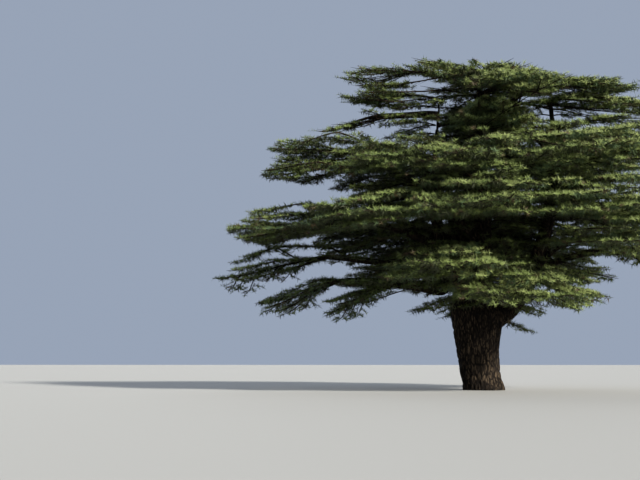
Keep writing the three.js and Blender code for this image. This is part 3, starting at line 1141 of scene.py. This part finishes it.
def bark_ripple(phase):
    """Ridges that run along a bough: five broad ones, and nine fine ones that wander more."""

    def ripple(ring, turns):
        along = ring * 0.35
        broad = 0.06 * np.sin(5 * turns + phase + 0.8 * np.sin(along))
        fine = 0.035 * np.sin(9 * turns - 2 * phase + 1.7 * np.sin(along * 1.3))
        return 1 + broad + fine

    return ripple


class Crown:
    """The crown as it grows, mass by mass: its boughs, branches, twigs and needles."""

    def __init__(self, limbs):
        self.riser_places = np.concatenate([axis for axis, _ in limbs.values()])
        self.riser_radii = np.concatenate([radii for _, radii in limbs.values()])
        self.boughs = Bundle()
        self.branches = {tier: Bundle() for tier in TIERS}
        self.twigs = {tier: [] for tier in TIERS}
        self.sprays = {}
        self.masses = {}
        self.grown = []

    def bough_of(self, mass):
        """The axis and the radii of a mass's CAD bough, led back to the limb that it leaves."""
        name = f"{mass.name}_bough"
        if name not in BOUGHS:
            return None
        axis, radii = measured_limb(name, *BOUGH_LEVELS)
        root_depth = 0.6
        flare = 1.3
        # Its end goes on into the mass, so it stays stout.
        end_girth = 0.5
        radii = np.maximum(radii, end_girth * radii[len(radii) // 2])
        if mass.is_spur:
            radii = radii * SPUR_GIRTH
        back = axis[0] - unit(axis[1] - axis[0]) * root_depth
        foot = self.riser_places[nearest_on(self.riser_places, back)]
        return smooth_axis(np.vstack([foot, axis]), np.append(radii[0] * flare, radii), BOUGH_STEP)

    def wood_for(self, mass, near, bough):
        """The wood that a mass may grow from, and the number of the place where its bough ends."""
        # The rising limbs beside the mass, which boughs leave outwards and a little upwards.
        below = 0.5
        span = 2.2
        within = 5
        rise = 0.35
        stoutest = 0.2
        level = np.abs(self.riser_places[:, 2] - near[2] + below) < span
        away = np.linalg.norm(self.riser_places[:, :2] - near[:2], axis=1)
        beside = level & (away < within)
        count = beside.sum()
        out = unit(mass.centre[:2] + mass.heading) * (not mass.is_central)
        ways = np.tile(np.append(out, rise), (count, 1))
        widths = np.minimum(self.riser_radii[beside], stoutest)
        spare = np.full(count, LIMB_COST if bough is None else SPURNED_COST)
        parts = [(self.riser_places[beside], ways, widths, spare)]
        leader = None
        if bough is not None:
            axis, radii = bough
            half = len(axis) // 2
            spare = np.linspace(BOUGH_COST, 0, len(axis) - half)
            parts.append((axis[half:], np.gradient(axis, axis=0)[half:], radii[half:], spare))
            leader = count + len(spare) - 1
        # Masses whose own limbs are far grow on from a neighbour's boughs.
        others_within = 1.6
        for places, ways, widths in self.grown:
            close = np.linalg.norm(places - near, axis=1) < others_within
            spare = np.full(close.sum(), OTHERS_COST)
            parts.append((places[close], ways[close], widths[close], spare))
        return Skeleton(*(np.concatenate(part) for part in zip(*parts))), leader

    def grow(self, mass, rng):
        """Grows a mass from its root, and dresses its bough and its leader."""
        root_share = 0.7
        collar = 1.35
        near = mass.centre.copy()
        if mass.is_central:
            near[:2] = 0
        else:
            near[:2] += mass.heading * mass.runs.min() * root_share
        bough = self.bough_of(mass)
        skeleton, leader = self.wood_for(mass, near, bough)
        root = near if bough is None else bough[0][-1]
        chains, plates = grow_mass(mass, skeleton, root, leader, rng)
        radii_at = pipe_radii(skeleton, chains, TIP_RADIUS[mass.tier])
        for chain in chains:
            axis = np.array([skeleton.places[i] for i in chain])
            thick = radii_at[chain].copy()
            thick[0] = min(thick[0], thick[1] * collar)
            if chain[0] == leader:
                # The leader keeps the girth of the bough's end and loses it on its way.
                steps = np.arange(len(chain)) * NODE_STEP
                fade = SPUR_FADE if mass.is_spur else LEADER_FADE
                thick = np.maximum(radii_at[chain], bough[1][-1] * np.exp(-steps / fade))
                thick[-1] = radii_at[chain[-1]]
            self.branches[mass.tier].add(*tube(axis, thick, BRANCH_SIDES))
        new = slice(skeleton.given, None)
        self.grown.append((np.array(skeleton.places[new]), np.array(skeleton.ways[new]), radii_at[new]))
        for plate in plates:
            # Plates are more often bright or dark than in between.
            self.add_plate(mass, plate, rng.beta(0.8, 0.8), rng)
        if bough is not None:
            ripple = bark_ripple(rng.uniform(0, 6))
            self.boughs.add(*tube(*bough, BOUGH_SIDES, relief=ripple))
            for plate in dressing(bough[0], mass.tier, LEVEL, rng):
                self.add_short_plate(mass.tier, mass.centre, plate, rng)
        if mass.tier in ("head", "low"):
            inner = plates[0][0][:-3]
            for plate in dressing(inner, "low", HANGING if mass.tier == "low" else FLAT, rng):
                self.add_short_plate(mass.tier, mass.centre, plate, rng)
        self.masses.setdefault(f"{mass.tier}_{side_of(mass.centre)}", set()).add(mass.name)

    def dress_stem(self, axis, radii, top, rng):
        for plate in stem_plates(axis, radii, top, rng):
            foot, *_, end = plate[0]
            tier = next(tier for tier in TIERS if foot[2] > TIER_FLOORS[tier])
            self.add_short_plate(tier, end, plate, rng)

    def add_short_plate(self, tier, place, plate, rng):
        axis, length, width = plate
        self.branches[tier].add(*tube(axis, np.linspace(*SHORT_RADII, len(axis)), BRANCH_SIDES))
        sprays = leaf_plate(axis, length, width, tier, rng)
        tone = rng.uniform(0, SHORT_TONE)
        # Painted light: the head's short plates that point towards the sun get paler greens.
        if tier == "head":
            tone += TOWARDS_SUN * max(unit(axis[-1] - axis[0]) @ SUNNY_WAY, 0)
        self.add_sprays(f"{tier}_{side_of(place)}", sprays, SHORT_STANDS, tone, rng)

    def add_plate(self, mass, plate, tone, rng):
        """Adds those branches and sprays of a plate that lie within its mass."""
        thinnest = 0.3
        branch_middle = 0.6
        branch_slack = 0.45
        feet, ends, starts, finishes, facings = leaf_plate(*plate, mass.tier, rng)
        low, high = mass.heights(mix(starts, finishes, 0.5)[:, :2])
        slack = rng.uniform(*SPRAY_SLACK[mass.tier], len(starts))
        held = (finishes[:, 2] > low - slack) & (finishes[:, 2] < high + slack + mass.room)
        # How high each spray stands in its mass, which sets its painted light.
        tall = ((finishes[:, 2] - low) / np.maximum(high - low, thinnest))[held]
        inside = mass.holds(mix(feet, ends, branch_middle), branch_slack + mass.room)
        kept = (feet[inside], ends[inside], starts[held], finishes[held], facings[held])
        self.add_sprays(f"{mass.tier}_{side_of(mass.centre)}", kept, tall, tone, rng)

    def add_sprays(self, key, plate, tall, tone, rng):
        """Adds a plate's side branches, its twigs and the needles on them."""
        feet, ends, starts, finishes, facings = plate
        if not len(starts):
            return
        tier = key.split("_")[0]
        self.twigs[tier].append((feet, ends, BRANCH_RADIUS))
        self.twigs[tier].append((starts, finishes, TWIG_RADIUS))
        # Painted light and shade: a paler green by tier and towards the sunny side, a darker one on the
        # shaded side.
        tone = tone + TIER_TONE[tier] + SUNNY_TONE * np.clip(starts[:, 0] / SUNNY_REACH, -1, 1)
        # Sprays that stand up take painted light, those that hang take painted shade.
        greens = deal_greens(facings[:, 2] > 0, tall, tone, rng)
        self.sprays.setdefault(key, []).append((needle_mesh(starts, finishes, facings, rng), greens))

    def make_wood(self, bark, twig_bark):
        boughs = ridden(self.boughs.made("bark_boughs", [bark]))
        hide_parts(*BOUGHS)
        for tier in TIERS:
            ridden(self.branches[tier].made(f"branches_{tier}", [bark]))
            spiked = Bundle()
            for twigs in self.twigs[tier]:
                spiked.add(*spikes(*twigs))
            ridden(spiked.made(f"twigs_{tier}", [twig_bark], smooth=False))

    def make_needles(self, greens):
        for key, sprays in sorted(self.sprays.items()):
            places = np.concatenate([spray[0] for spray in sprays])
            dealt = np.concatenate([spray[1] for spray in sprays])
            dealt = np.repeat(dealt, SPURS_A_TWIG * NEEDLES_A_SPUR)
            faces = np.arange(len(places)).reshape(-1, 3)
            piece = ridden(new_object(f"needles_{key}", places, faces, greens, dealt))
            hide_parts(*sorted(self.masses[key]))


def build():
    bark = bark_material("bark")
    twig_bark = plain_material("twig_bark", TWIG_COLOUR, 0.85)
    greens = [plain_material(name, colour, 0.6) for name, colour in GREENS.items()]
    limbs = rising_limbs()
    risers = ridden(build_risers(limbs, bark))
    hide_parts("trunk", *STEMS)

    # Nearer masses come first, so that others may grow on from their boughs.
    crown = Crown(limbs)
    masses = [Mass(name) for name in MASSES]
    for mass in sorted(masses, key=lambda mass: np.linalg.norm(mass.centre[:2])):
        crown.grow(mass, np.random.default_rng([SEED, MASSES.index(mass.name)]))
    for number, (name, (axis, radii)) in enumerate(limbs.items()):
        top = axis[-1, 2] if name == "trunk" else min(axis[-1, 2], STEM_PLATES_TO)
        crown.dress_stem(axis, radii, top, np.random.default_rng([SEED, len(MASSES) + number]))
    crown.make_wood(bark, twig_bark)
    crown.make_needles(greens)


# The floor and the light


def add_floor():
    half = 700
    corners = [(-half, -half, 0), (half, -half, 0), (half, half, 0), (-half, half, 0)]
    material = plain_material("floor", FLOOR_COLOUR, 0.9)
    floor = new_object("floor", corners, [(0, 1, 2, 3)], [material])


def add_sun(name, towards, strength, softness, colour):
    """A light from far off in the given way, with its softness in degrees."""
    sun = bpy.data.lights.new(name, "SUN")
    sun.energy = strength
    sun.angle = math.radians(softness)
    sun.color = colour
    lamp = bpy.data.objects.new(name, sun)
    lamp.rotation_euler = Vector(towards).to_track_quat("Z", "Y").to_euler()
    bpy.context.scene.collection.objects.link(lamp)


def add_light():
    world = bpy.data.worlds.new("studio")
    world.use_nodes = True
    background = world.node_tree.nodes["Background"]
    background.inputs["Color"].default_value = (0.6, 0.71, 0.91, 1)
    background.inputs["Strength"].default_value = 0.52
    bpy.context.scene.world = world
    add_sun("key", towards=(0.8, -0.6, 0.51), strength=10, softness=7, colour=(1, 0.95, 0.86))
    add_sun("fill", towards=(-0.25, 0.85, 0.45), strength=1.5, softness=60, colour=(0.92, 0.96, 1))
    bpy.context.scene.view_settings.view_transform = "Standard"


add_camera()
build()
add_floor()
add_light()
